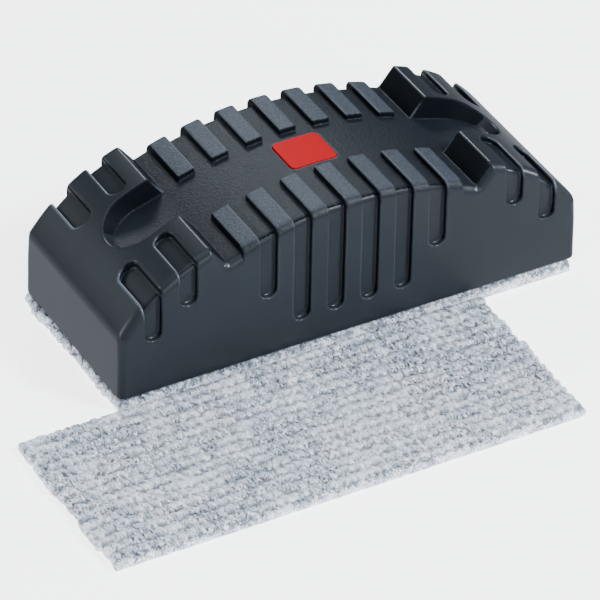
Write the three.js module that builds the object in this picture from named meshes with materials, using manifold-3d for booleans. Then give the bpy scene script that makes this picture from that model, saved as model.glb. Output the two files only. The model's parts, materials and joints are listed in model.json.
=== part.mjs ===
// Dry-wipe board eraser: an arched plastic grip that carries a hook-and-loop fleece pad, with one spare
// pad lying beside it. Units are millimetres. +X runs along the eraser, +Y across it and +Z up. The
// origin is the centre of the fitted pad's underside, the face that rests on a table or a board.
import * as THREE from "three";
import { mergeVertices } from "three/addons/utils/BufferGeometryUtils.js";
import Module from "manifold-3d";

const wasm = await Module();
wasm.setup();

// ---- Driving dimensions ----

const fitGap = 0.3; // clearance kept between neighbouring pieces
const overrun = 2; // how far a cutter runs past the face it cuts
const sink = 0.5; // how far an added piece runs into the piece it is joined to

const bodyLength = 150;
const bodyWidth = 60;
const halfLength = bodyLength / 2;
const halfWidth = bodyWidth / 2;
const wallThickness = 2.2;
const edgeRadius = 2.5; // rounding of the grip's corners and long edges

// The saddle is one arc along X. Its ends meet the steep inner faces of the two end blocks.
const saddlePeak = 43.5;
const saddleRadius = 111;
const saddleEnd = 40.5; // |x| where the saddle meets a block's inner face
const aboveGrip = saddlePeak + 2 * overrun; // a height that clears the whole grip

// The top of an end block is one arc, from the end wall up to the block's crest.
const endWallHeight = 20.8;
const endWallLean = 0.4; // the end wall leans in this much over its height
const crestX = 45.5; // |x| of the crest
const crestHeight = 42.1;
const blockRadius = 56;

// Raised grip bars, and the grooves between them that run down the long walls
const barCount = 7;
const barPitch = 11;
const barWidth = 5.5;
const barHeight = 1.8;
const barInnerY = 10; // |y| where a bar ends, a third of the way in
const grooveBottoms = [20, 8.6, 8.6, 8.6, 8.6, 20]; // lowest point of each groove, left to right

// Stadium-shaped slots that run over the edge of an end block
const slots = [
  { x: halfLength - 10.8, bottom: 17.4 },
  { x: halfLength - 22, bottom: 26 },
];
const slotWidth = 5.4;
const slotDepth = 1.8;
const slotInnerY = 12.2; // |y| of a slot's round inner end

// Finger scoops in the end blocks
const scoopHalfWidth = 9.7;
const scoopTip = { x: halfLength - 14.6, z: 30.4 }; // outer end of the scoop's floor
const scoopMidFloor = { x: 48, z: 33.1 }; // the floor's slope is set by this control point
const scoopEndFall = 0.2; // how much the floor falls per millimetre past the tip
const scoopTilt = 56; // degrees the scoop's axis leans out, square to the block's sloping end
const scoopReach = 30; // length of the channel and of its axis each way, enough to clear the block

// Inside of the shell
const cavityHalfWidth = 26.4;
const cavityShoulder = { x: 62.5, z: 25.8 };
const roofThickness = 2.6;
const ribThickness = 1.6;

const badgeSize = { x: 15, y: 13.5, thickness: 0.8, corner: 1.7 };
const badgeProud = 0.3; // the badge stands this far above the saddle

const padSize = { x: 148, y: 60, z: 4.5 };
const padCorner = 1.2;
const padSpacing = 1.5; // between the two pads
const sparePadPlace = { x: -33, y: -padSize.y - padSpacing };

const tapeThickness = 1;
const tapeLength = 38;
const tapeWidth = 46;
const tapeCorner = 2;
const tapePlaces = { left: -50, centre: 0, right: 50 };

const plateThickness = 2.4;
const plateCorner = 1;
const plateBottom = tapeThickness + fitGap;
const plateTop = plateBottom + plateThickness;

const magnetSize = { x: 36, y: 24, z: 6 };
const magnetX = 36;
const pocketWall = 1.6;
const pocketHeight = 3;

const clipX = 62; // |x| of the four snap clips, which stand outside the magnets
const clipWidth = 8;
const clipThickness = 1.8;
const clipHeight = 9;
const clipHook = 1.1; // how far the hook stands out
const clipHookHeight = 2.2;
const ledgeHeight = 1.5; // of the ledges that the hooks catch on

const bodyLift = padSize.z + fitGap; // the eraser's bottom edge above the table

const arcSegments = 10;
const roundSegments = 8;
const edgeSegments = 4;

const colours = {
  plastic: 0x2e343a,
  red: 0xd0282b,
  innerPlastic: 0x26292c,
  hookTape: 0x1b1c1e,
  ferrite: 0x3a3b3d,
  fleece: 0xbcc2c9,
};

// ---- Solids from three.js geometries ----

// A closed three.js geometry as a solid that can be joined and cut.
function solid(geometry) {
  const bare = geometry.clone();
  bare.deleteAttribute("normal");
  bare.deleteAttribute("uv");
  const merged = mergeVertices(bare, 1e-4);
  return new wasm.Manifold(
    new wasm.Mesh({
      numProp: 3,
      vertProperties: merged.attributes.position.array,
      triVerts: new Uint32Array(merged.index.array),
    }),
  );
}

function geometryOf(body) {
  const mesh = body.getMesh();
  const geometry = new THREE.BufferGeometry();
  geometry.setAttribute("position", new THREE.BufferAttribute(mesh.vertProperties, 3));
  geometry.setIndex(new THREE.BufferAttribute(mesh.triVerts, 1));
  const faceted = geometry.toNonIndexed();
  faceted.computeVertexNormals();
  return faceted;
}

function box(x0, x1, y0, y1, z0, z1) {
  const geometry = new THREE.BoxGeometry(x1 - x0, y1 - y0, z1 - z0);
  return geometry.translate((x0 + x1) / 2, (y0 + y1) / 2, (z0 + z1) / 2);
}

// A shape drawn in X and Z, extruded along Y from y0 to y1.
function alongY(shape, y0, y1) {
  const options = { depth: y1 - y0, bevelEnabled: false, curveSegments: arcSegments };
  const geometry = new THREE.ExtrudeGeometry(shape, options);
  return geometry.rotateX(Math.PI / 2).translate(0, y1, 0);
}

// A shape drawn in X and Y, extruded along Z from z0 to z1.
function alongZ(shape, z0, z1) {
  const options = { depth: z1 - z0, bevelEnabled: false, curveSegments: roundSegments };
  return new THREE.ExtrudeGeometry(shape, options).translate(0, 0, z0);
}

// The same geometry at this end and turned half round to the other end.
function bothEnds(geometry) {
  return [geometry, geometry.clone().rotateZ(Math.PI)];
}

function roundedRectangle(length, width, radius) {
  const shape = new THREE.Shape();
  const x = length / 2 - radius;
  const y = width / 2 - radius;
  shape.absarc(x, y, radius, 0, Math.PI / 2);
  shape.absarc(-x, y, radius, Math.PI / 2, Math.PI);
  shape.absarc(-x, -y, radius, Math.PI, Math.PI * 1.5);
  shape.absarc(x, -y, radius, Math.PI * 1.5, Math.PI * 2);
  shape.closePath();
  return shape;
}

// ---- Curves of the grip ----

// Height of the saddle's arc at x, raised by an offset.
function saddleHeight(x, offset = 0) {
  const radius = saddleRadius + offset;
  return saddlePeak - saddleRadius + Math.sqrt(radius * radius - x * x);
}

// The saddle's arc as points from x0 to x1.
function saddlePoints(x0, x1, offset = 0) {
  const points = [];
  for (let i = 0; i <= arcSegments; i++) {
    const x = x0 + ((x1 - x0) * i) / arcSegments;
    points.push(new THREE.Vector2(x, saddleHeight(x, offset)));
  }
  return points;
}

// Centre of the arc over the right-hand end block.
function blockCentre() {
  const low = new THREE.Vector2(halfLength - endWallLean, endWallHeight);
  const high = new THREE.Vector2(crestX, crestHeight);
  const half = high.distanceTo(low) / 2;
  const toCentre = new THREE.Vector2(low.y - high.y, high.x - low.x).normalize();
  const middle = low.clone().add(high).multiplyScalar(0.5);
  return middle.addScaledVector(toCentre, Math.sqrt(blockRadius * blockRadius - half * half));
}

// The right-hand block's arc between two |x| values, lowered by a depth.
function blockPoints(x0, x1, depth = 0) {
  const centre = blockCentre();
  const radius = blockRadius - depth;
  const points = [];
  for (let i = 0; i <= arcSegments; i++) {
    const x = x0 + ((x1 - x0) * i) / arcSegments;
    const dx = x - centre.x;
    points.push(new THREE.Vector2(x, centre.y + Math.sqrt(radius * radius - dx * dx)));
  }
  return points;
}

function mirrored(points) {
  return points.map((p) => new THREE.Vector2(-p.x, p.y)).reverse();
}

// Side outline of the grip. It runs below the bottom edge, which is cut flat later.
function sideShape(saddleOffset) {
  const right = blockPoints(halfLength - endWallLean, crestX);
  const foot = edgeRadius + overrun;
  const inner = saddlePoints(saddleEnd, -saddleEnd, saddleOffset);
  const points = [
    new THREE.Vector2(-halfLength, -foot),
    new THREE.Vector2(halfLength, -foot),
    new THREE.Vector2(halfLength, 0),
    ...right,
    ...inner,
    ...mirrored(right),
    new THREE.Vector2(-halfLength, 0),
  ];
  return new THREE.Shape(points);
}

// The side outline at full width, with rounded long edges and corners.
function roundedBody(saddleOffset) {
  const geometry = new THREE.ExtrudeGeometry(sideShape(saddleOffset), {
    depth: bodyWidth - 2 * edgeRadius,
    bevelThickness: edgeRadius,
    bevelSize: edgeRadius,
    bevelOffset: -edgeRadius,
    bevelSegments: edgeSegments,
  });
  geometry.rotateX(Math.PI / 2).translate(0, halfWidth - edgeRadius, 0);
  const below = box(-bodyLength, bodyLength, -bodyWidth, bodyWidth, -edgeRadius - 2 * overrun, 0);
  return solid(geometry).subtract(solid(below));
}

// ---- Features of the cover shell ----

function barX(index) {
  return (index - (barCount - 1) / 2) * barPitch;
}

function gripBars() {
  const raised = roundedBody(barHeight);
  const floor = saddleHeight(saddleEnd) - barHeight - overrun;
  const slabs = [];
  for (let i = 0; i < barCount; i++) {
    const x0 = barX(i) - barWidth / 2;
    const side = box(x0, x0 + barWidth, barInnerY, halfWidth, floor, aboveGrip);
    slabs.push(...bothEnds(side).map(solid));
  }
  return raised.intersect(wasm.Manifold.union(slabs));
}

// An upright groove with a round lower end, cut into both long walls at x.
function wallGroove(x, bottom, width, depth) {
  const radius = width / 2;
  const shape = new THREE.Shape();
  shape.moveTo(x + radius, aboveGrip);
  shape.lineTo(x - radius, aboveGrip);
  shape.absarc(x, bottom + radius, radius, Math.PI, Math.PI * 2);
  shape.closePath();
  const near = alongY(shape, -halfWidth - overrun, -halfWidth + depth);
  const far = alongY(shape, halfWidth - depth, halfWidth + overrun);
  return solid(near).add(solid(far));
}

function saddleGrooves() {
  const width = barPitch - barWidth;
  const grooves = grooveBottoms.map((bottom, i) => {
    const x = (barX(i) + barX(i + 1)) / 2;
    return wallGroove(x, bottom, width, barHeight);
  });
  return wasm.Manifold.union(grooves);
}

// Everything above the right block's top once it is lowered by the slots' depth.
function aboveSlotFloor() {
  const floor = blockPoints(halfLength - overrun, crestX - overrun, slotDepth);
  const shape = new THREE.Shape([
    ...floor,
    new THREE.Vector2(crestX - overrun, aboveGrip),
    new THREE.Vector2(halfLength - overrun, aboveGrip),
  ]);
  return solid(alongY(shape, -halfWidth - overrun, halfWidth + overrun));
}

// A slot's plan: open past the long wall, round at its inner end.
function slotPlan(x) {
  const radius = slotWidth / 2;
  const shape = new THREE.Shape();
  shape.moveTo(x + radius, halfWidth + overrun);
  shape.lineTo(x - radius, halfWidth + overrun);
  shape.absarc(x, slotInnerY + radius, radius, Math.PI, Math.PI * 2);
  shape.closePath();
  return shape;
}

function blockSlots() {
  const above = aboveSlotFloor();
  const cuts = [];
  for (const { x, bottom } of slots) {
    const plan = alongZ(slotPlan(x), 0, aboveGrip);
    const otherSide = plan.clone().rotateX(Math.PI).translate(0, 0, aboveGrip);
    cuts.push(above.intersect(solid(plan)));
    cuts.push(above.intersect(solid(otherSide)));
    cuts.push(wallGroove(x, bottom, slotWidth, slotDepth));
  }
  const oneEnd = wasm.Manifold.union(cuts);
  return oneEnd.add(oneEnd.rotate([0, 0, 180]));
}

// A channel with a round outer end, cut along an axis that leans outward.
function scoopChannel() {
  const plan = new THREE.Shape();
  plan.moveTo(-scoopReach, scoopHalfWidth);
  plan.lineTo(-scoopReach, -scoopHalfWidth);
  plan.absarc(-scoopHalfWidth, 0, scoopHalfWidth, -Math.PI / 2, Math.PI / 2);
  plan.closePath();
  const channel = alongZ(plan, -scoopReach, scoopReach);
  channel.rotateY(THREE.MathUtils.degToRad(scoopTilt));
  return channel.translate(scoopTip.x, 0, scoopTip.z);
}

// The finger scoops: each is the part of its channel above a floor that falls away from the saddle.
function fingerScoops() {
  const inner = saddleEnd - overrun;
  const floor = new THREE.QuadraticBezierCurve(
    new THREE.Vector2(saddleEnd, saddleHeight(saddleEnd)),
    new THREE.Vector2(scoopMidFloor.x, scoopMidFloor.z),
    new THREE.Vector2(scoopTip.x + overrun, scoopTip.z - overrun * scoopEndFall),
  );
  const side = new THREE.Shape([
    new THREE.Vector2(inner, aboveGrip),
    new THREE.Vector2(inner, saddleHeight(inner)),
    ...floor.getPoints(arcSegments),
    new THREE.Vector2(halfLength, scoopTip.z),
    new THREE.Vector2(halfLength, aboveGrip),
  ]);
  const above = alongY(side, -scoopHalfWidth - overrun, scoopHalfWidth + overrun);
  const scoop = solid(scoopChannel()).intersect(solid(above));
  return scoop.add(scoop.rotate([0, 0, 180]));
}

// The hollow inside the shell, open at the bottom.
function cavity() {
  const wallX = halfLength - wallThickness;
  const roof = saddlePoints(saddleEnd, -saddleEnd, -roofThickness);
  const shape = new THREE.Shape([
    new THREE.Vector2(-wallX, -overrun),
    new THREE.Vector2(wallX, -overrun),
    new THREE.Vector2(wallX, endWallHeight - wallThickness),
    new THREE.Vector2(cavityShoulder.x, cavityShoulder.z),
    ...roof,
    new THREE.Vector2(-cavityShoulder.x, cavityShoulder.z),
    new THREE.Vector2(-wallX, endWallHeight - wallThickness),
  ]);
  return solid(alongY(shape, -cavityHalfWidth, cavityHalfWidth));
}

// Ribs under the roof that hold each magnet down in its pocket.
function holdDownRibs() {
  const low = plateTop + magnetSize.z + 2 * fitGap;
  const ribs = [];
  for (const offset of [-magnetSize.x / 4, magnetSize.x / 4]) {
    const x = magnetX + offset;
    const reach = cavityHalfWidth + sink;
    const rib = box(x - ribThickness / 2, x + ribThickness / 2, -reach, reach, low, saddlePeak);
    ribs.push(...bothEnds(rib).map(solid));
  }
  return wasm.Manifold.union(ribs);
}

// Ledges on the inside of the long walls, which the base plate's clips catch behind.
function clipLedges() {
  const high = plateTop + clipHeight - clipHookHeight - fitGap;
  const low = high - ledgeHeight;
  const inner = cavityHalfWidth - clipHook;
  const ledges = [];
  for (const x of [-clipX, clipX]) {
    const ledge = box(x - clipWidth / 2, x + clipWidth / 2, inner, cavityHalfWidth + sink, low, high);
    ledges.push(...bothEnds(ledge).map(solid));
  }
  return wasm.Manifold.union(ledges);
}

function badgeBand(lower, upper, margin) {
  const { x: reach, y: width, corner } = badgeSize;
  const plan = roundedRectangle(reach + 2 * margin, width + 2 * margin, corner + margin);
  const under = saddlePoints(reach, -reach, lower);
  const over = saddlePoints(-reach, reach, upper);
  const band = alongY(new THREE.Shape([...under, ...over]), -reach, reach);
  return solid(alongZ(plan, saddlePeak - reach, saddlePeak + reach)).intersect(solid(band));
}

function coverShell() {
  const badgeRecess = badgeBand(badgeProud - badgeSize.thickness - fitGap, overrun, fitGap);
  const outside = roundedBody(0)
    .subtract(fingerScoops())
    .subtract(blockSlots())
    .add(gripBars())
    .subtract(saddleGrooves())
    .subtract(badgeRecess);
  const kept = holdDownRibs().add(clipLedges());
  return outside.subtract(cavity().subtract(kept));
}

// ---- The other pieces ----

function badge() {
  return badgeBand(badgeProud - badgeSize.thickness, badgeProud, 0);
}

// One snap clip, on the +Y side: an upright tab with a hook facing the wall.
function snapClip(x) {
  const outer = cavityHalfWidth - clipHook - fitGap;
  const inner = outer - clipThickness;
  const top = plateTop + clipHeight;
  const hookLow = top - clipHookHeight;
  const shape = new THREE.Shape();
  shape.moveTo(inner, plateTop - sink);
  shape.lineTo(outer, plateTop - sink);
  shape.lineTo(outer, hookLow);
  shape.lineTo(outer + clipHook - fitGap, hookLow);
  shape.lineTo(outer, top);
  shape.lineTo(inner, top);
  shape.closePath();
  const options = { depth: clipWidth - 2 * fitGap, bevelEnabled: false };
  const geometry = new THREE.ExtrudeGeometry(shape, options);
  geometry.rotateX(Math.PI / 2).rotateZ(Math.PI / 2);
  return geometry.translate(x - clipWidth / 2 + fitGap, 0, 0);
}

// The frame that locates a magnet on the plate.
function magnetPocket(x) {
  const inX = magnetSize.x / 2 + fitGap;
  const inY = magnetSize.y / 2 + fitGap;
  const outX = inX + pocketWall;
  const outY = inY + pocketWall;
  const top = plateTop + pocketHeight;
  const frame = solid(box(x - outX, x + outX, -outY, outY, plateTop - sink, top));
  return frame.subtract(solid(box(x - inX, x + inX, -inY, inY, plateTop, top + overrun)));
}

function basePlate() {
  const length = bodyLength - 2 * (wallThickness + fitGap);
  const width = 2 * (cavityHalfWidth - fitGap);
  const sheet = alongZ(roundedRectangle(length, width, plateCorner), plateBottom, plateTop);
  let plate = solid(sheet);
  for (const x of [-magnetX, magnetX]) {
    plate = plate.add(magnetPocket(x));
  }
  for (const x of [-clipX, clipX]) {
    for (const clip of bothEnds(snapClip(x))) {
      plate = plate.add(solid(clip));
    }
  }
  return plate;
}

function magnet(x) {
  const { x: length, y: width, z: height } = magnetSize;
  const low = plateTop + fitGap;
  return box(x - length / 2, x + length / 2, -width / 2, width / 2, low, low + height);
}

function hookTape(x) {
  const sheet = alongZ(roundedRectangle(tapeLength, tapeWidth, tapeCorner), 0, tapeThickness);
  return sheet.translate(x, 0, 0);
}

function pad() {
  return alongZ(roundedRectangle(padSize.x, padSize.y, padCorner), 0, padSize.z);
}

// ---- Assembly ----

function piece(name, geometry, colour, roughness) {
  const material = new THREE.MeshStandardMaterial({ color: colour, roughness, metalness: 0 });
  const mesh = new THREE.Mesh(geometry, material);
  mesh.name = name;
  return mesh;
}

const eraser = new THREE.Group();
eraser.position.z = bodyLift;
eraser.add(piece("cover_shell", geometryOf(coverShell()), colours.plastic, 0.45));
eraser.add(piece("badge", geometryOf(badge()), colours.red, 0.4));
eraser.add(piece("base_plate", geometryOf(basePlate()), colours.innerPlastic, 0.5));
eraser.add(piece("magnet_left", magnet(-magnetX), colours.ferrite, 0.6));
eraser.add(piece("magnet_right", magnet(magnetX), colours.ferrite, 0.6));
for (const [side, x] of Object.entries(tapePlaces)) {
  eraser.add(piece(`hook_tape_${side}`, hookTape(x), colours.hookTape, 0.9));
}

const fittedPad = piece("fitted_pad", pad(), colours.fleece, 1);
const sparePad = piece("spare_pad", pad(), colours.fleece, 1);
sparePad.position.set(sparePadPlace.x, sparePadPlace.y, 0);

const assembly = new THREE.Group();
assembly.add(eraser, fittedPad, sparePad);

export default assembly;
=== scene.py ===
"""Looks of a dry-wipe board eraser: an arched, ribbed plastic grip on its fleece pad, and a spare pad.

The grip is one moulded form with many small fillets, so it's written as a signed distance function and
meshed from that. The pads are fine grids shaped into rows of stitched tufts. Lengths are millimetres
until a mesh is made.
"""

import json
import math

import bpy
import numpy as np
import openvdb
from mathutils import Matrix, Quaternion, Vector

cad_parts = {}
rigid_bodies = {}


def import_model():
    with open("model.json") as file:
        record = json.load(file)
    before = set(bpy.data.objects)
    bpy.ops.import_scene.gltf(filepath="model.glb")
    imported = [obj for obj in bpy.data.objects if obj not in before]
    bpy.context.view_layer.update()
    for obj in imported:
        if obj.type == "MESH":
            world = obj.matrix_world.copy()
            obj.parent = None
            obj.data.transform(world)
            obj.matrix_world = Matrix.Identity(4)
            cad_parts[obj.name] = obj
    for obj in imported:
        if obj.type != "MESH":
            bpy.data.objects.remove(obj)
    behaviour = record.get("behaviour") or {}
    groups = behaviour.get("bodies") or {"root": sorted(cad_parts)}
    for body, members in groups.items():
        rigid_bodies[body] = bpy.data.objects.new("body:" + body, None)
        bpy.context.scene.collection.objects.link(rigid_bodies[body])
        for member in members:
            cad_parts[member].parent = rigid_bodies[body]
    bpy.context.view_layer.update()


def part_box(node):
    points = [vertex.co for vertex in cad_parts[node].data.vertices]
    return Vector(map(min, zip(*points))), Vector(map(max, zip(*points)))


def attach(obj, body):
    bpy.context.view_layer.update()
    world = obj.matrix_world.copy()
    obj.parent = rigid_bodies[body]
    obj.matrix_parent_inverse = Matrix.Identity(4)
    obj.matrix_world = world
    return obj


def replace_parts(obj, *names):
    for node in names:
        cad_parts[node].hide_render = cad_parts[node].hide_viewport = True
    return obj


MM = 0.001

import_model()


# ---------------------------------------------------------------- sizes read from the frame


def node_box(node):
    """The lowest and highest corner of a CAD node, in millimetres."""
    low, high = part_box(node)
    return np.array(low) / MM, np.array(high) / MM


SHELL_LOW, SHELL_HIGH = node_box("cover_shell")
LENGTH, WIDTH, BAR_TOP = SHELL_HIGH - SHELL_LOW
HALF_LENGTH, HALF_WIDTH = LENGTH / 2, WIDTH / 2
SHELL_FOOT = SHELL_LOW[2]

BAR_HEIGHT = 1.8
BAR_COUNT = 7
BAR_PITCH = 11
BAR_HALF_WIDTH = 2.75
BAR_INNER_Y = 10
BAR_OUTER_RADIUS = 3.0  # where a bar turns down into the long wall

SADDLE_PEAK = BAR_TOP - BAR_HEIGHT
SADDLE_RADIUS = 111
SADDLE_END = 40.5  # |x| where the saddle meets an end block
SADDLE_END_HEIGHT = 35.85
SADDLE_CUT = 62  # |x| inside the end block where the saddle's arc is cut off

CREST = (45.5, 42.1)  # |x| and height of an end block's highest point
BLOCK_RADIUS = 56
WALL_TOP = (HALF_LENGTH - 0.4, 20.8)  # |x| and height of the top of the end wall

GROOVE_DEPTH = 1.8
GROOVE_HALF_WIDTH = 2.75
GROOVE_BOTTOMS = {5.5: 8.6, 16.5: 8.6, 27.5: 20}  # lowest point of the groove at each |x|
GROOVE_CUT = 4  # how deep a groove is cut before its floor is put in
GROOVED_STOP = 4.0  # how far short of the saddle's end the floor of the grooves stops

FOOT_DROP = 0.1  # of a foot below the groove's floor
FOOT_HEIGHT = 2.2
FOOT_HALF_WIDTH = 4

SLOT_HALF_WIDTH = 2.7
SLOT_BOTTOMS = {HALF_LENGTH - 10.8: 17.4, HALF_LENGTH - 22: 26}
SLOT_INNER_Y = 12.2

SCOOP_HALF_WIDTH = 9.7
SCOOP_TIP = (HALF_LENGTH - 14.6, 30.4)
SCOOP_MID_FLOOR = (48, 33.1)
SCOOP_TILT = math.radians(56)
SCOOP_START = SADDLE_END - 4.6  # |x| over the saddle where a scoop starts
SCOOP_FLOOR_COSINE = 0.96  # of the floor's mean slope

BADGE_HALF = (7.5, 6.75)
BADGE_CORNER = 1.7
BADGE_EDGE_RADIUS = 0.22
BADGE_PROUD = 0.3
BADGE_SUNK = 0.5
BADGE_GAP = 0.12
RECESS_DEPTH = 0.8

HOLLOW_WALL_X, HOLLOW_WALL_Y, HOLLOW_HEIGHT = 2.2, 3.6, 14  # enough of the hollow for the inner pieces

# Radii of the moulded edges and corners
LOW_EDGE_RADIUS, TOP_EDGE_RADIUS = 2.0, 3.0  # of the long edges, low down and at the top
EDGE_GROWS_FROM, EDGE_GROWS_TO = 12, 24  # heights between which the one becomes the other
GROOVED_EDGE_RADIUS = 2.2  # where a groove's floor turns into the saddle
SUNK_EDGE_RADIUS = 1.8  # where a slot's two floors meet
FOOT_RADIUS = 1.2  # in the lower ends of grooves and slots
END_WALL_RADIUS = 1.0
CREST_RADIUS = 0.7
RIM_RADIUS = 0.5  # of slots, bars and scoops
GROOVE_RIM_RADIUS = 0.45
CORNER_RADIUS = 0.3
RECESS_RIM_RADIUS = 0.2

SHELL_VOXEL = 0.36
BADGE_VOXEL = 0.15


# ---------------------------------------------------------------- signed distances


def round_max(a, b, r):
    """The overlap of two solids, its outer edge rounded to radius r."""
    inside = np.minimum(np.maximum(a, b), -r)
    return inside + np.hypot(np.maximum(a + r, 0), np.maximum(b + r, 0))


def round_min(a, b, r):
    """The join of two solids, its inner corner filled to radius r."""
    outside = np.maximum(np.minimum(a, b), r)
    return outside - np.hypot(np.maximum(r - a, 0), np.maximum(r - b, 0))


def smooth_step(x, low, high):
    t = np.clip((x - low) / (high - low), 0, 1)
    return t * t * (3 - 2 * t)


def block_centre():
    """Centre of the arc over an end block, from the crest to the top of the end wall."""
    low, high = np.array(WALL_TOP), np.array(CREST)
    half = np.linalg.norm(high - low) / 2
    toward = np.array([low[1] - high[1], high[0] - low[0]]) / (2 * half)
    return (low + high) / 2 + toward * math.sqrt(BLOCK_RADIUS**2 - half**2)


def saddle_distance(x, z, raised=0.0):
    """Height above the saddle's arc, or above that arc raised by a distance."""
    return np.hypot(x, z - SADDLE_PEAK + SADDLE_RADIUS) - SADDLE_RADIUS - raised


def over_block(x, z):
    """Height above the arc over an end block."""
    centre = block_centre()
    return np.hypot(x - centre[0], z - centre[1]) - BLOCK_RADIUS


def side_profile(x, z):
    """The grip's outline seen from the side: the saddle's arc joined to an end block."""
    top = over_block(x, z)
    run, rise = CREST[0] - SADDLE_END, CREST[1] - SADDLE_END_HEIGHT
    inner_face = (run * (z - CREST[1]) - rise * (x - CREST[0])) / math.hypot(run, rise)
    end_wall = x - HALF_LENGTH + z * (HALF_LENGTH - WALL_TOP[0]) / WALL_TOP[1]
    block = round_max(round_max(top, inner_face, CREST_RADIUS), end_wall, END_WALL_RADIUS)
    saddle = np.maximum(saddle_distance(x, z), x - SADDLE_CUT)
    return round_min(saddle, block, CORNER_RADIUS)


def slot_distance(along, across, end, half_width):
    """A slot seen face on. It is open where across is large, and round where across ends."""
    centre = end + half_width
    beside = np.abs(along) - half_width
    return np.where(across > centre, beside, np.hypot(along, across - centre) - half_width)


def scoop_floor_height(x):
    """The scoop's floor falls away from the saddle on one curve, then runs on at the same slope."""
    t = np.linspace(0, 1, 60)
    start, mid, end = (SADDLE_END, SADDLE_END_HEIGHT), SCOOP_MID_FLOOR, SCOOP_TIP
    curve = [(1 - t) ** 2 * a + 2 * t * (1 - t) * b + t**2 * c for a, b, c in zip(start, mid, end)]
    slope = (end[1] - mid[1]) / (end[0] - mid[0])
    beyond = np.interp(x, *curve) + slope * np.maximum(x - end[0], 0)
    saddle = SADDLE_PEAK - SADDLE_RADIUS + np.sqrt(SADDLE_RADIUS**2 - x**2)
    return np.where(x < SADDLE_END, saddle, beyond)


def scoop(x, y, z):
    """A finger scoop: a round-ended channel on an axis that leans out, above its floor."""
    inward = (SCOOP_TIP[0] - x) * math.cos(SCOOP_TILT) + (z - SCOOP_TIP[1]) * math.sin(SCOOP_TILT)
    channel = slot_distance(y, inward, 0, SCOOP_HALF_WIDTH)
    above_floor = (scoop_floor_height(x) - z) * SCOOP_FLOOR_COSINE
    return np.maximum(round_max(channel, above_floor, RIM_RADIUS), SCOOP_START - x)


def rounded_rectangle(x, y, half, corner):
    dx = np.abs(x) - half[0] + corner
    dy = np.abs(y) - half[1] + corner
    return np.hypot(np.maximum(dx, 0), np.maximum(dy, 0)) + np.minimum(np.maximum(dx, dy), 0) - corner


def grip(x, y, z):
    """Signed distance to the grip. It is the same at both ends and on both sides."""
    x, y = np.abs(x), np.abs(y)
    profile = side_profile(x, z)
    growth = smooth_step(z, EDGE_GROWS_FROM, EDGE_GROWS_TO)
    edge = LOW_EDGE_RADIUS + (TOP_EDGE_RADIUS - LOW_EDGE_RADIUS) * growth
    body = round_max(profile, y - HALF_WIDTH, edge)

    # Slots over the end blocks and grooves in the long walls are cut deep.
    for place, bottom in SLOT_BOTTOMS.items():
        on_top = slot_distance(x - place, y, SLOT_INNER_Y, SLOT_HALF_WIDTH)
        on_wall = slot_distance(x - place, z, bottom, SLOT_HALF_WIDTH)
        body = round_max(body, -np.maximum(on_top, on_wall), RIM_RADIUS)
    for place, bottom in GROOVE_BOTTOMS.items():
        on_wall = slot_distance(x - place, z, bottom, GROOVE_HALF_WIDTH)
        body = round_max(body, -np.maximum(on_wall, HALF_WIDTH - GROOVE_CUT - y), GROOVE_RIM_RADIUS)

    # A well-rounded foot just under the floor at each lower end, then the floors themselves. Between the
    # bars the top stays at the saddle's height, and over the end blocks the slots are sunk.
    floor = y - HALF_WIDTH + GROOVE_DEPTH
    for place, bottom in (*GROOVE_BOTTOMS.items(), *SLOT_BOTTOMS.items()):
        foot = np.maximum(floor + FOOT_DROP, z - bottom - FOOT_HEIGHT)
        foot = np.maximum(foot, np.abs(x - place) - FOOT_HALF_WIDTH)
        body = round_min(body, foot, FOOT_RADIUS)
    body = round_min(body, round_max(profile + GROOVE_DEPTH, floor, SUNK_EDGE_RADIUS), CORNER_RADIUS)
    grooved = np.maximum(round_max(profile, floor, GROOVED_EDGE_RADIUS), x - SADDLE_END + GROOVED_STOP)
    body = np.minimum(body, grooved)

    # Raised bars across the saddle
    raised = round_max(saddle_distance(x, z, BAR_HEIGHT), y - HALF_WIDTH, BAR_OUTER_RADIUS)
    from_bar = np.abs(x - BAR_PITCH * np.round(x / BAR_PITCH))
    strip = round_max(from_bar - BAR_HALF_WIDTH, BAR_INNER_Y - y, RIM_RADIUS)
    strip = np.maximum(strip, x - BAR_PITCH * BAR_COUNT / 2)
    body = np.minimum(body, round_max(raised, strip, RIM_RADIUS))

    # Finger scoops. Their rim is sharp at the saddle, where the scoop's floor runs on into it.
    rim = 0.02 + RIM_RADIUS * smooth_step(x, SADDLE_END + 0.5, CREST[0])
    body = round_max(body, -scoop(x, y, z), rim)

    # Recess for the badge, and the hollow underneath
    around_badge = rounded_rectangle(x, y, np.array(BADGE_HALF) + BADGE_GAP, BADGE_CORNER + BADGE_GAP)
    recess = np.maximum(around_badge, -saddle_distance(x, z, -RECESS_DEPTH))
    body = round_max(body, -recess, RECESS_RIM_RADIUS)
    hollow = np.maximum(x - HALF_LENGTH + HOLLOW_WALL_X, y - HALF_WIDTH + HOLLOW_WALL_Y)
    hollow = np.maximum(hollow, z - HOLLOW_HEIGHT)
    return np.maximum(round_max(body, -z, CORNER_RADIUS), -hollow)


def badge(x, y, z):
    plan = rounded_rectangle(x, y, BADGE_HALF, BADGE_CORNER)
    slab = np.abs(saddle_distance(x, z, BADGE_PROUD / 2 - BADGE_SUNK / 2)) - BADGE_PROUD / 2 - BADGE_SUNK / 2
    return round_max(plan, slab, BADGE_EDGE_RADIUS)


# ---------------------------------------------------------------- meshes from distances


def gradient(distance, points, step=0.02):
    """The outward direction of a distance function at each point."""
    columns = []
    for axis in range(3):
        offset = np.zeros(3)
        offset[axis] = step
        ahead = distance(*(points + offset).T)
        behind = distance(*(points - offset).T)
        columns.append((ahead - behind) / (2 * step))
    return np.stack(columns, axis=1)


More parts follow.
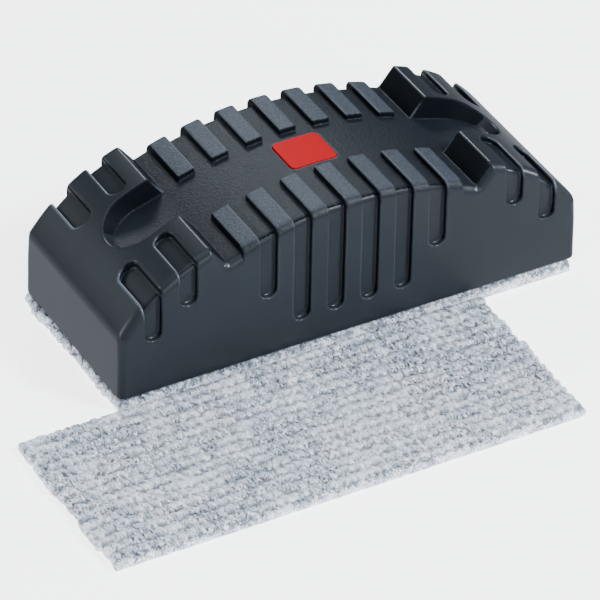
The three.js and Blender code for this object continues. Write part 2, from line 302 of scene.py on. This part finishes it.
def mesh_from_distance(name, distance, low, high, voxel):
    """A mesh of the surface where distance is zero, with its points moved onto it and its own normals."""
    sides = [np.arange(a, b, voxel) for a, b in zip(low, high)]
    values = distance(*np.meshgrid(*sides, indexing="ij")).astype(np.float32)
    band = 2.0  # the surface doesn't depend on distances beyond this
    grid = openvdb.FloatGrid(background=band)
    grid.copyFromArray(np.clip(values, -band, band))
    points, triangles, quads = grid.convertToPolygons(isovalue=0.0)
    points = np.array(low) + points.astype(float) * voxel
    for _ in range(2):
        slope = gradient(distance, points)
        square = np.maximum((slope**2).sum(axis=1), 0.25)
        move = distance(*points.T)[:, None] * slope / square[:, None]
        points -= np.clip(move, -voxel / 2, voxel / 2)
    faces = triangles.tolist() + quads.tolist()
    mesh = bpy.data.meshes.new(name)
    mesh.from_pydata((points * MM).tolist(), [], faces)
    mesh.shade_smooth()
    slope = gradient(distance, points)
    normals = slope / np.maximum(np.linalg.norm(slope, axis=1, keepdims=True), 1e-6)
    mesh.normals_split_custom_set_from_vertices(normals.tolist())
    return new_object(name, mesh), points


def new_object(name, mesh):
    made = bpy.data.objects.new(name, mesh)
    bpy.context.scene.collection.objects.link(made)
    return made


def paint(made, name, values):
    """Stores one number per point, for a material to read."""
    layer = made.data.attributes.new(name, "FLOAT", "POINT")
    layer.data.foreach_set("value", np.asarray(values, np.float32))


# ---------------------------------------------------------------- materials


class Nodes:
    """A short way to write a material's node tree."""

    def __init__(self, name, **sockets):
        self.material = bpy.data.materials.new(name)
        self.material.use_nodes = True
        self.tree = self.material.node_tree
        self.shader = self.tree.nodes["Principled BSDF"]
        self.set(self.shader, sockets)
        self.place = self.add("ShaderNodeTexCoord").outputs["Object"]

    def set(self, node, sockets):
        for key, value in sockets.items():
            socket = node.inputs[key.replace("_", " ") if isinstance(key, str) else key]
            if isinstance(value, bpy.types.NodeSocket):
                self.tree.links.new(value, socket)
            else:
                socket.default_value = value

    def add(self, kind, sockets=None, **settings):
        node = self.tree.nodes.new(kind)
        for key, value in settings.items():
            setattr(node, key, value)
        self.set(node, sockets or {})
        return node

    def noise(self, size_mm, detail=3.0, rough=0.55):
        """Noise whose lumps are about size_mm across."""
        sockets = {"Vector": self.place, "Scale": 1 / (size_mm * MM), "Detail": detail, "Roughness": rough}
        return self.add("ShaderNodeTexNoise", sockets).outputs["Fac"]

    def read(self, attribute):
        return self.add("ShaderNodeAttribute", attribute_name=attribute).outputs["Fac"]

    def remap(self, value, from_low, from_high, to_low, to_high):
        sockets = {0: value, 1: from_low, 2: from_high, 3: to_low, 4: to_high}
        return self.add("ShaderNodeMapRange", sockets).outputs[0]

    def math(self, operation, a, b=0.0):
        return self.add("ShaderNodeMath", {0: a, 1: b}, operation=operation).outputs[0]

    def mix(self, factor, a, b):
        """A blend of two colours, by a number from 0 to 1."""
        node = self.add("ShaderNodeMix", data_type="RGBA")
        for index, value in ((0, factor), (6, a), (7, b)):
            self.set(node, {index: value})
        return node.outputs[2]

    def bump(self, height, distance_mm, strength=1.0):
        sockets = {"Height": height, "Distance": distance_mm * MM, "Strength": strength}
        self.set(self.shader, {"Normal": self.add("ShaderNodeBump", sockets).outputs[0]})


def srgb(code):
    """A colour written as six hex digits, as linear values."""
    parts = [int(code[i : i + 2], 16) / 255 for i in (0, 2, 4)]
    return (*[c / 12.92 if c <= 0.04045 else ((c + 0.055) / 1.055) ** 2.4 for c in parts], 1.0)


def grip_plastic():
    """Dark moulded plastic: satin walls, a fine grain on the saddle, paler bars and painted highlights on the
    rounded edges.
    """
    n = Nodes("grip_plastic", IOR=1.5, Specular_IOR_Level=0.3)
    grain = n.noise(0.32, detail=2.0)
    cloud = n.noise(16.0, detail=2.0)
    bar, edge, grained = (n.read(name) for name in ("bar_top", "edge", "grained"))
    base = n.mix(cloud, srgb("1c2024"), srgb("23272c"))
    base = n.mix(grained, base, srgb("10161d"))
    base = n.mix(bar, base, n.mix(n.remap(grain, 0.45, 0.7, 0, 1), srgb("2b3037"), srgb("4f555e")))
    # Painted highlight: the edge mark lightens the rounded outer edges.
    base = n.mix(n.math("MULTIPLY", edge, 0.75), base, srgb("6a737d"))
    rough = n.math("ADD", n.remap(cloud, 0, 1, 0.275, 0.3), n.math("MULTIPLY", grained, 0.18))
    n.set(n.shader, {"Base Color": base, "Roughness": rough})
    skin = n.math("ADD", grain, n.math("MULTIPLY", n.noise(0.9, detail=1.0), 1.1))
    n.bump(n.math("MULTIPLY", skin, n.remap(n.math("MAXIMUM", grained, bar), 0, 1, 0.02, 1.0)), 0.11)
    return n.material


def recess_plastic():
    """The same plastic, painted darker as shade and less glossy, on the upright sides of bars, grooves and
    scoops.
    """
    n = Nodes("recess_plastic", IOR=1.5, Specular_IOR_Level=0.05)
    grain = n.noise(0.32, detail=2.0)
    # Painted shade: a darker copy of the grip plastic.
    base = n.mix(n.remap(grain, 0.3, 0.7, 0, 1), srgb("090d11"), srgb("10151a"))
    # Painted highlight: the edge mark lightens the rounded outer edges here too.
    base = n.mix(n.math("MULTIPLY", n.read("edge"), 0.75), base, srgb("6a737d"))
    n.set(n.shader, {"Base Color": base, "Roughness": n.remap(grain, 0.3, 0.7, 0.5, 0.6)})
    n.bump(grain, 0.01)
    return n.material


def badge_plastic():
    n = Nodes("badge_plastic", IOR=1.5, Roughness=0.5, Specular_IOR_Level=0.06)
    speck = n.noise(0.3, detail=2.0)
    n.set(n.shader, {"Base Color": n.mix(speck, srgb("a6030e"), srgb("b40612"))})
    n.bump(speck, 0.01)
    return n.material


def inner_plastic():
    n = Nodes("inner_plastic", Roughness=0.5)
    speck = n.noise(1.2)
    n.set(n.shader, {"Base Color": n.mix(speck, srgb("1d1f22"), srgb("25282b"))})
    n.bump(speck, 0.03)
    return n.material


def ferrite():
    n = Nodes("ferrite", Roughness=0.6, Metallic=0.2)
    speck = n.noise(0.8, detail=5.0)
    n.set(n.shader, {"Base Color": n.mix(speck, srgb("2c2c2e"), srgb("47474a"))})
    n.bump(speck, 0.06)
    return n.material


def hook_tape():
    n = Nodes("hook_tape", Roughness=0.85, Sheen_Weight=0.3)
    sockets = {"Vector": n.place, "Scale": 1 / (1.1 * MM), "Randomness": 0.25}
    hooks = n.add("ShaderNodeTexVoronoi", sockets).outputs["Distance"]
    n.set(n.shader, {"Base Color": n.mix(n.remap(hooks, 0, 0.6, 0, 1), srgb("2a2b2e"), srgb("0b0b0c"))})
    n.bump(n.math("SUBTRACT", 1.0, hooks), 0.5)
    return n.material


def fleece():
    """Stitch-bonded fleece: pale tufts, grey stitch lines that also carry painted shade between the tufts,
    and mixed light and dark fibres.
    """
    n = Nodes("fleece", Roughness=0.95, Sheen_Weight=0.2, Sheen_Roughness=0.5)
    sockets = {"Vector": n.place, "Rotation": (0, 0, 0.25), "Scale": (1.0, 0.3, 1.0)}
    lay = n.add("ShaderNodeMapping", sockets).outputs[0]  # fibres lie across the rows
    sockets = {"Vector": lay, "Scale": 1 / (0.5 * MM), "Detail": 2.0, "Roughness": 0.55}
    fibre = n.add("ShaderNodeTexNoise", sockets).outputs["Fac"]
    fleck = n.noise(1.7, detail=3.0, rough=0.6)
    patch = n.noise(9.0, detail=2.0)
    tuft = n.read("tuft")
    base = n.mix(n.remap(patch, 0.4, 0.62, 0, 1), srgb("b9c1cd"), srgb("dae0ea"))
    base = n.mix(n.remap(n.noise(24.0, detail=1.0), 0.55, 0.7, 0, 0.5), base, srgb("e8dde0"))
    # The stitch lines are grey thread, and their dark grey is partly painted shade in the hollows between the
    # tufts.
    base = n.mix(n.remap(tuft, 0.1, 0.6, 0.85, 0), base, srgb("6f7884"))
    base = n.mix(n.remap(fleck, 0.5, 0.6, 0, 0.9), base, srgb("f6f8fc"))
    dark = n.math("MULTIPLY", n.remap(fibre, 0.51, 0.39, 0, 1), n.remap(patch, 0.62, 0.4, 0.45, 1.0))
    # Fewer dark fibres on the tuft tops than in the hollows: partly painted shade between the tufts.
    dark = n.math("MULTIPLY", dark, n.remap(tuft, 0.5, 1.0, 1.0, 0.6))
    base = n.mix(dark, base, srgb("3a414c"))
    n.set(n.shader, {"Base Color": base})
    n.bump(n.math("ADD", fibre, n.math("MULTIPLY", fleck, 0.4)), 0.25)
    return n.material


def cover(obj, material):
    obj.data.materials.clear()
    obj.data.materials.append(material)


# ---------------------------------------------------------------- the grip


def recessed_points(x, y, z, normals):
    """True at points on the upright sides of bars, grooves, slots and scoops, which get the plastic painted
    darker as shade.
    """
    # Faces square to Y, apart from the long walls
    upright = (np.abs(normals[:, 1]) > 0.38) & (y < HALF_WIDTH - 2.5) & (x < HALF_LENGTH - 8)
    # Faces square to X, apart from the end walls and the steep foot of a block's top and its slots' floors
    depth = -over_block(x, z)
    on_block_top = (x > CREST[0]) & ((depth < 0.5) | (np.abs(depth - GROOVE_DEPTH) < 0.3))
    inside = (y < HALF_WIDTH - 0.3) & (x < HALF_LENGTH - 3)
    sideways = (np.abs(normals[:, 0]) > 0.7) & inside & ~on_block_top
    return (upright | sideways) & (z > 5)


def make_grip():
    low = (-HALF_LENGTH - 1, -HALF_WIDTH - 1, -1)
    high = (HALF_LENGTH + 1, HALF_WIDTH + 1, BAR_TOP + 1)
    shell, points = mesh_from_distance("cover_shell_visual", grip, low, high, SHELL_VOXEL)
    x, y, z = np.abs(points[:, 0]), np.abs(points[:, 1]), points[:, 2]

    # The tops of the bars, and the grained saddle that runs on into the floors of the scoops
    over_saddle = saddle_distance(x, z)
    bar_top = smooth_step(over_saddle, 1.3, 1.7) * (x < SADDLE_END) * (y < HALF_WIDTH - 1.0)
    on_saddle = smooth_step(over_saddle, -0.8, -0.2) * (over_saddle < 2.2) * (x < SADDLE_END + 0.3)
    on_scoop_floor = (y < SCOOP_HALF_WIDTH) * (x < SCOOP_TIP[0] + 0.5)
    on_scoop_floor = on_scoop_floor * (z < scoop_floor_height(x) + 0.5) * (z > 25)
    paint(shell, "bar_top", bar_top)
    paint(shell, "grained", np.maximum(on_saddle, on_scoop_floor))

    # Painted highlight on the rounded outer edges. A point just under a rounded outer edge is less deep than
    # one just under a flat face.
    normals = gradient(grip, points)
    sunk = grip(*(points - 0.5 * normals).T) + 0.5
    paint(shell, "edge", np.clip(sunk * 2.5, 0, 1) * (z > 1))

    shell.location.z = SHELL_FOOT * MM
    cover(shell, grip_plastic())
    # The second material, on the points that recessed_points picks, is the plastic painted darker as shade.
    shell.data.materials.append(recess_plastic())
    recessed = recessed_points(x, y, z, normals)
    for face in shell.data.polygons:
        face.material_index = int(recessed[face.vertices[0]] and recessed[face.vertices[2]])
    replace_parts(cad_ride(shell, "eraser"), "cover_shell")


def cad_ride(obj, body):
    """Puts an object on a body and gives the object back."""
    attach(obj, body)
    return obj


def make_badge():
    low = (-BADGE_HALF[0] - 1, -BADGE_HALF[1] - 1, SADDLE_PEAK - 2)
    high = (BADGE_HALF[0] + 1, BADGE_HALF[1] + 1, SADDLE_PEAK + 1.5)
    label, _ = mesh_from_distance("badge_visual", badge, low, high, BADGE_VOXEL)
    label.location.z = SHELL_FOOT * MM
    cover(label, badge_plastic())
    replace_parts(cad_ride(label, "eraser"), "badge")


# ---------------------------------------------------------------- the fleece pads

ROW_PITCH = 3.9
TUFT_PITCH = 2.8
TUFT_RELIEF = 1.5
PAD_STEP = 0.4
SIDE_RADIUS = 1.3  # rounding of a pad's upper edge
FRAY_LENGTH = 9  # how far in from its ends a pad is stretched to a ragged outline
NOISE_SPAN = 400  # width of the square that the random tables cover
TUFT_KINDS = 4096  # how many random sizes and leans the tufts are picked from
ROW_KINDS = 400  # how many random starts the rows are picked from


def smooth_noise(rng, x, y, size):
    """Smooth random values from -1 to 1, whose lumps are about size across."""
    count = int(NOISE_SPAN / size) + 4
    table = rng.uniform(-1, 1, (count, count))
    u, v = (x + NOISE_SPAN / 2) / size, (y + NOISE_SPAN / 2) / size
    i, j = np.floor(u).astype(int), np.floor(v).astype(int)
    s, t = u - i, v - j
    s, t = s * s * (3 - 2 * s), t * t * (3 - 2 * t)
    low = table[i, j] * (1 - s) + table[i + 1, j] * s
    high = table[i, j + 1] * (1 - s) + table[i + 1, j + 1] * s
    return low * (1 - t) + high * t


def tufts(rng, x, y):
    """The pad's relief, from 0 in a stitch line to 1 on a tuft. Each row along X is a string of tufts."""
    wander = 0.5 * smooth_noise(rng, x, y, 9.0)
    row = (y + wander) / ROW_PITCH
    index = np.floor(row + 0.5).astype(int)
    across = 2 * (row - index)
    shift = rng.uniform(0, 1, ROW_KINDS)[index + ROW_KINDS // 2]
    beat = x / TUFT_PITCH + shift + 0.6 * smooth_noise(rng, x, 4.0 * index, 3.1) + 0.3 * across
    number = np.floor(beat).astype(int)
    along = 2 * (beat - number) - 1
    pick = (number * 31 + index * 977) % TUFT_KINDS
    size = rng.uniform(0.65, 1.0, TUFT_KINDS)[pick]
    lean = rng.uniform(-0.2, 0.2, TUFT_KINDS)[pick]
    dome = np.clip(1 - 0.95 * (across - lean) ** 2 - 0.6 * along**2, 0, 1) ** 0.75
    lumps = 0.12 * smooth_noise(rng, x, y, 1.6) + 0.08 * smooth_noise(rng, x, y, 0.9)
    return np.clip(dome * size + lumps, 0, 1)


def pad_outline(rng, y):
    """How far an end of the pad stands out at each y: a lobe for each row, with notches and stray tufts."""
    flat = np.zeros_like(y)
    lobes = 0.35 * np.abs(np.cos(np.pi * y / ROW_PITCH))
    return lobes + 0.8 * smooth_noise(rng, flat, y, 6.5) + 0.35 * smooth_noise(rng, flat, y, 1.6)


def pad_sides(rng, points, rim, count, half_y):
    """Layers of points down the cut side, which bulge and wander. Returns all points and the side's faces."""
    layers = [rim]
    ring, ring_low = points[rim], points[rim + count]
    on_long_side = np.abs(ring[:, 1]) > half_y - 0.01
    outward = np.stack([np.sign(ring[:, 0]) * ~on_long_side, np.sign(ring[:, 1]) * on_long_side], axis=1)
    for level in (0.25, 0.5, 0.75):
        place = ring * (1 - level) + ring_low * level
        bulge = 0.25 + 0.3 * smooth_noise(rng, place[:, 0], place[:, 1] + 40 * level, 0.9)
        place[:, :2] += outward * bulge[:, None] * math.sin(math.pi * level)
        layers.append(len(points) + np.arange(len(rim)))
        points = np.concatenate([points, place])
    layers.append(rim + count)
    sides = []
    for upper, lower in zip(layers, layers[1:]):
        sides.append(np.stack([upper, lower, np.roll(lower, -1), np.roll(upper, -1)], axis=-1))
    return points, sides


def make_pad(name, node, left, right, seed):
    """One fleece pad on its CAD node's box. left and right are how far its ends stand beyond that box."""
    rng = np.random.default_rng(seed)
    low, high = node_box(node)
    centre = (low + high) / 2
    half_x, half_y, thickness = (high[0] - low[0]) / 2, (high[1] - low[1]) / 2, high[2] - low[2]
    xs = np.linspace(-half_x, half_x, int(2 * half_x / PAD_STEP) + 1)
    ys = np.linspace(-half_y, half_y, int(2 * half_y / PAD_STEP) + 1)
    x, y = np.meshgrid(xs, ys, indexing="ij")
    near_left = 1 - smooth_step(x, -half_x, -half_x + FRAY_LENGTH)
    near_right = smooth_step(x, half_x - FRAY_LENGTH, half_x)
    x = x - near_left * (left + pad_outline(rng, y)) + near_right * (right + pad_outline(rng, y))
    tuft = tufts(rng, x, y)
    inset = np.minimum(half_y - np.abs(y), np.minimum(x - x[:1], x[-1:] - x))
    round_off = np.sqrt(np.clip(1 - (1 - np.clip(inset / SIDE_RADIUS, 0, 1)) ** 2, 0, 1))
    top = thickness - TUFT_RELIEF * (1 - tuft) - 1.0 * (1 - round_off)
    under = 0.5 * (1 - tufts(rng, x, y)) * round_off + 0.25 * (1 - round_off)

    count = x.size
    index = np.arange(count).reshape(x.shape)
    points = np.concatenate([np.stack([x, y, h], axis=-1).reshape(-1, 3) for h in (top, under)])
    corners = (index[:-1, :-1], index[1:, :-1], index[1:, 1:], index[:-1, 1:])
    quads = np.stack(corners, axis=-1).reshape(-1, 4)
    rim = np.concatenate([index[:-1, 0], index[-1, :-1], index[:0:-1, -1], index[0, :0:-1]])
    points, sides = pad_sides(rng, points, rim, count, half_y)
    faces = np.concatenate([quads, quads[:, ::-1] + count, *sides])

    mesh = bpy.data.meshes.new(name)
    mesh.from_pydata((points * MM).tolist(), [], faces.tolist())
    mesh.shade_smooth()
    made = new_object(name, mesh)
    relief = np.concatenate([tuft.ravel(), np.full(count, 0.5), np.full(len(points) - 2 * count, 0.55)])
    paint(made, "tuft", relief)
    made.location = (centre[0] * MM, centre[1] * MM, low[2] * MM)
    return made


def make_pads():
    material = fleece()
    for node, body, left, right, seed in (
        ("fitted_pad", "fitted_pad", 1.2, -0.6, 4),
        ("spare_pad", "spare_pad", 0.3, 0.3, 9),
    ):
        made = make_pad(node + "_fleece", node, left, right, seed)
        cover(made, material)
        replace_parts(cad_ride(made, body), node)


# ---------------------------------------------------------------- inner pieces


def finish_inner_pieces():
    """The CAD solids inside the grip keep their shape and get their materials."""
    looks = {
        "base_plate": (inner_plastic(), "plate_plastic"),
        "magnet": (ferrite(), "ferrite"),
        "hook_tape": (hook_tape(), "hook_tape"),
    }
    for node in sorted(o.name for o in bpy.context.scene.objects if o.type == "MESH"):
        for start, (material, slot) in looks.items():
            if node.startswith(start):
                cover(bpy.data.objects[node], material)


# ---------------------------------------------------------------- the set

AZIMUTH, ELEVATION, ROLL = math.radians(29.52), math.radians(36.57), math.radians(1.25)
DISTANCE = 1.463
LENS = 303.4
AIM = Vector((-7.35, -12.26, 5.54)) * MM  # in front of the grip, so that the spare pad is in view

STAGE_REACH = 4  # metres from the middle of the floor to its edge


def make_camera():
    data = bpy.data.cameras.new("camera")
    data.sensor_width = 36
    data.lens = LENS
    level = math.cos(ELEVATION)
    back = Vector((-math.sin(AZIMUTH) * level, -math.cos(AZIMUTH) * level, math.sin(ELEVATION)))
    camera = bpy.data.objects.new("camera", data)
    camera.location = AIM + back * DISTANCE
    camera.rotation_mode = "QUATERNION"
    camera.rotation_quaternion = (-back).to_track_quat("-Z", "Y") @ Quaternion((0, 0, 1), ROLL)
    bpy.context.scene.collection.objects.link(camera)
    bpy.context.scene.camera = camera


LIGHT_COLOUR = (0.86, 0.93, 1.0)


def make_light(name, place, size, power):
    """A soft rectangular light that faces the origin."""
    data = bpy.data.lights.new(name, "AREA")
    data.shape = "RECTANGLE"
    data.size, data.size_y = size
    data.energy = power
    data.color = LIGHT_COLOUR
    light = bpy.data.objects.new(name, data)
    light.location = place
    light.rotation_mode = "QUATERNION"
    light.rotation_quaternion = (-Vector(place)).to_track_quat("-Z", "Y")
    bpy.context.scene.collection.objects.link(light)


def make_backdrop(material):
    """A pale wall all round the floor, which hides its far edge. It is drawn but lights nothing."""
    count = 64
    turns = [2 * math.pi * i / count for i in range(count)]
    ring = [(STAGE_REACH * math.cos(t), STAGE_REACH * math.sin(t)) for t in turns]
    points = [(x, y, z) for z in (0, STAGE_REACH) for x, y in ring]
    faces = [(i, (i + 1) % count, (i + 1) % count + count, i + count) for i in range(count)]
    mesh = bpy.data.meshes.new("backdrop")
    mesh.from_pydata(points, [], faces)
    backdrop = new_object("backdrop", mesh)
    cover(backdrop, material)
    for kind in ("diffuse", "glossy", "transmission", "volume_scatter", "shadow"):
        setattr(backdrop, "visible_" + kind, False)


def make_set():
    mesh = bpy.data.meshes.new("floor")
    corners = ((-1, -1), (1, -1), (1, 1), (-1, 1))
    mesh.from_pydata([(STAGE_REACH * x, STAGE_REACH * y, 0) for x, y in corners], [], [(0, 1, 2, 3)])
    floor = new_object("floor", mesh)
    n = Nodes("floor", Roughness=0.9, Emission_Strength=3.0)
    n.set(n.shader, {"Base Color": (0.95, 0.95, 0.95, 1), "Emission Color": (1, 1, 1, 1)})
    cover(floor, n.material)
    floor.visible_glossy = False  # the plastic mirrors the dark room in place of the white floor
    make_backdrop(n.material)


def make_world():
    """Light from all round that depends on height only."""
    world = bpy.data.worlds.new("studio")
    world.use_nodes = True
    tree = world.node_tree
    toward = tree.nodes.new("ShaderNodeTexCoord").outputs["Generated"]
    ramp = tree.nodes.new("ShaderNodeValToRGB")
    split = tree.nodes.new("ShaderNodeSeparateXYZ")
    height = tree.nodes.new("ShaderNodeMapRange")
    height.inputs[1].default_value = -1
    for a, b in (
        (toward, split.inputs[0]),
        (split.outputs["Z"], height.inputs[0]),
        (height.outputs[0], ramp.inputs[0]),
        (ramp.outputs[0], tree.nodes["Background"].inputs["Color"]),
    ):
        tree.links.new(a, b)
    # A bright table below, a dark wall at eye level and a pale ceiling. A new ramp has two stops.
    stops = ((0.3, 0.85), (0.5, 0.12), (0.7, 0.12), (1.0, 0.45))
    for _ in stops[2:]:
        ramp.color_ramp.elements.new(1.0)
    for stop, (place, light) in zip(ramp.color_ramp.elements, stops):
        stop.position = place
        stop.color = (0.88 * light, 0.94 * light, light, 1)
    bpy.context.scene.world = world


# Name, place and size in metres, and power in watts
LIGHTS = (
    ("back", (0.3, 1.0, 0.9), (0.5, 0.3), 9),
    ("back_left", (-0.8, 1.0, 0.5), (0.6, 0.4), 1),
    ("left", (-1.2, 0.35, 0.35), (0.6, 0.4), 6),
    ("right", (1.4, -0.4, 0.43), (0.25, 0.4), 12),
    ("front", (-0.3, -2.2, 1.0), (1.4, 0.9), 14),
    ("key", (0.65, -0.95, 1.1), (0.22, 0.22), 34),
    ("overhead", (-0.2, 0.0, 1.3), (0.9, 0.9), 4),
)


make_grip()
make_badge()
make_pads()
finish_inner_pieces()
make_set()
make_world()
for light in LIGHTS:
    make_light(*light)
make_camera()
